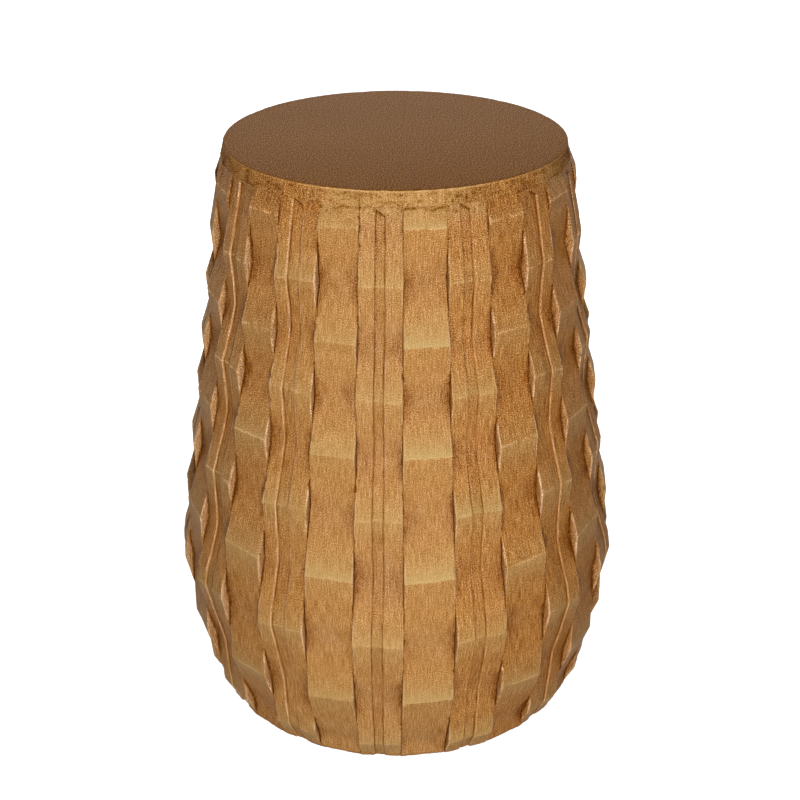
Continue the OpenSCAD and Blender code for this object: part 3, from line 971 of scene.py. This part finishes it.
def rubber_material():
    """Black rubber with a fine speck."""
    material, tree, shader = new_material("pad_rubber", 0.75, 0.25)
    black, grey = (0.016, 0.015, 0.014, 1), (0.045, 0.042, 0.039, 1)
    speck = stretched_noise(tree, object_place(tree), (1200, 1200, 1200), 2)
    put(tree, shader.inputs["Base Color"], blend(tree, speck, black, grey))
    bump(tree, shader, speck, 0.1 * MM)
    return material


def steel_material():
    """Zinc-plated steel, brushed along the screws."""
    material, tree, shader = new_material("screw_steel", 0.35, 0.5)
    shader.inputs["Metallic"].default_value = 1
    dull, bright = (0.42, 0.41, 0.38, 1), (0.60, 0.59, 0.55, 1)
    speck = stretched_noise(tree, object_place(tree), (600, 600, 60), 2)
    put(tree, shader.inputs["Base Color"], blend(tree, speck, dull, bright))
    put(tree, shader.inputs["Roughness"], spread(tree, speck, 0.3, 0.7, 0.28, 0.45))
    return material


# Camera and light


def place_camera():
    """The camera of the photograph, worked out from the ridges, the rim and the foot: a 67.5 mm lens,
    2.36 table heights in front of the axis and 1.70 above the floor, 8.5 degrees round from -Y."""
    frame_px, focal_px = 800, 1501
    sensor_mm = 36
    distance, height = 2.360 * TABLE_H, 1.699 * TABLE_H
    around, pitch, yaw, roll = (math.radians(a) for a in (-8.51, 26.5, 0.16, -0.10))
    camera = bpy.data.objects.new("camera", bpy.data.cameras.new("camera"))
    camera.data.sensor_width = sensor_mm
    camera.data.lens = sensor_mm * focal_px / frame_px
    spin = Matrix.Rotation(around, 4, "Z")
    aim = Matrix.Rotation(-yaw, 4, "Z") @ Matrix.Rotation(math.pi / 2 - pitch, 4, "X")
    stand = Matrix.Translation((0, -distance, height))
    camera.matrix_world = spin @ stand @ aim @ Matrix.Rotation(roll, 4, "Z")
    bpy.context.scene.collection.objects.link(camera)
    bpy.context.scene.camera = camera


WHITE = (1.0, 1.0, 1.0)
COOL = (0.90, 0.97, 0.97)
# Each light's name, azimuth from the -Y stave and elevation in degrees, distance from the table's middle
# and size in metres, power in watts, and its colour where it isn't white
LIGHTS = (
    ("key", -8, 36, 1.2, 0.5, 9.65),
    ("fill", -8, -9, 1.0, 0.13, 4.5),
    ("left", -105, 12, 2.2, 1.0, 1.7, COOL),
    ("back right side", 126, 14, 2.2, 1.0, 8.0),
    ("back left side", -138, 14, 2.2, 1.0, 6.0),
    ("back right key", 162, 18, 1.8, 0.6, 8.6),
    ("back left key", 182, 18, 1.8, 0.6, 8.6),
    ("top", 172, 45, 0.8, 0.3, 0.6),
    ("back fill", 174.5, 3, 1.5, 0.4, 5),
)


def soft_light(name, azimuth, elevation, distance, size, power, colour=WHITE):
    """A square soft light that looks at the table's middle."""
    data = bpy.data.lights.new(name, "AREA")
    data.shape, data.size, data.energy, data.color = "SQUARE", size, power, colour
    light = bpy.data.objects.new(name, data)
    a, e = math.radians(azimuth), math.radians(elevation)
    middle = Matrix.Translation((0, 0, TABLE_H / 2))
    turn = Matrix.Rotation(a, 4, "Z") @ Matrix.Rotation(math.pi / 2 - e, 4, "X")
    light.matrix_world = middle @ turn @ Matrix.Translation((0, 0, distance))
    bpy.context.scene.collection.objects.link(light)


def build_floor():
    """A glowing white floor that closes overhead. Its profile is level for 5 m, bends up round a quarter
    circle of 5 m, goes on round one of 10 m about a point 5 m up the axis, and is carried round.
    Diffuse rays don't see it, so its glow leaves the shading alone."""
    level_r = bend_r = 5
    dome_r = level_r + bend_r
    turn = np.linspace(0, 2 * math.pi, 96, endpoint=False)
    bend = np.linspace(0, math.pi * 0.98, 40)
    low, high = bend[1:21], bend[21:]
    out = np.concatenate([[0.001, 1, 3, level_r], level_r + bend_r * np.sin(low), dome_r * np.sin(high)])
    up = np.concatenate([[0, 0, 0, 0], bend_r - bend_r * np.cos(low), bend_r - dome_r * np.cos(high)])
    shell = [out[:, None] * np.cos(turn), out[:, None] * np.sin(turn), up[:, None] * np.ones(len(turn))]
    floor = grid_mesh("floor", np.stack(shell, axis=-1))
    material, tree, shader = new_material("pale_floor", 0.9, 0.1)
    shader.inputs["Base Color"].default_value = (0.45, 0.45, 0.45, 1)
    shader.inputs["Emission Color"].default_value = (1, 1, 1, 1)
    shader.inputs["Emission Strength"].default_value = 0.98
    floor.data.materials.append(material)
    floor.visible_diffuse = False


def build_studio():
    """The floor, the lights and a faint glow from all round that is stronger from below. The lights are
    a large soft key and a low fill from the camera's side, a weak cool one on the left, and six behind
    for the back and the top."""
    build_floor()
    for light in LIGHTS:
        soft_light(*light)
    world = bpy.data.worlds.new("studio")
    world.use_nodes = True
    tree = world.node_tree
    direction = new_node(tree, "TexCoord").outputs["Generated"]
    upward = new_node(tree, "SeparateXYZ", (direction,)).outputs["Z"]
    background = tree.nodes["Background"]
    background.inputs["Color"].default_value = (1, 1, 1, 1)
    put(tree, background.inputs["Strength"], spread(tree, upward, -0.5, 0.3, 0.10, 0.015))
    bpy.context.scene.world = world
    bpy.context.scene.view_settings.view_transform = "Standard"


def dress(piece, material, node):
    """Gives a new piece its material, hangs it under the root body and hides the CAD node that it stands
    for.
    """
    piece.data.materials.append(material)
    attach(piece, "root")
    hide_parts(node)


def refinish(node, material):
    """Gives a CAD node that stays a better material."""
    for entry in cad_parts[node].material_slots:
        entry.material = material


def main():
    """Sets up camera and light and dresses every piece."""
    place_camera()
    build_studio()
    stains = {kind: stained(kind + "_stave_stain_and_painted_light") for kind in ("wide", "strip")}
    for stave, piece in build_staves():
        dress(piece, stains[stave.kind], stave.name)
    dress(build_top(), top_material(), "top_panel")
    rubber = rubber_material()
    for pad in build_pads():
        dress(pad, rubber, "floor_pads")
    ply = plain_wood("former_ply", (0.52, 0.36, 0.19), (0.40, 0.25, 0.12))
    refinish("top_former", ply)
    refinish("belly_former", ply)
    refinish("base_head", plain_wood("base_head_stain", (0.30, 0.18, 0.09), (0.20, 0.11, 0.05)))
    refinish("joint_splines", plain_wood("spline_wood", (0.55, 0.40, 0.22), (0.45, 0.30, 0.16)))
    refinish("top_screws", steel_material())


main()
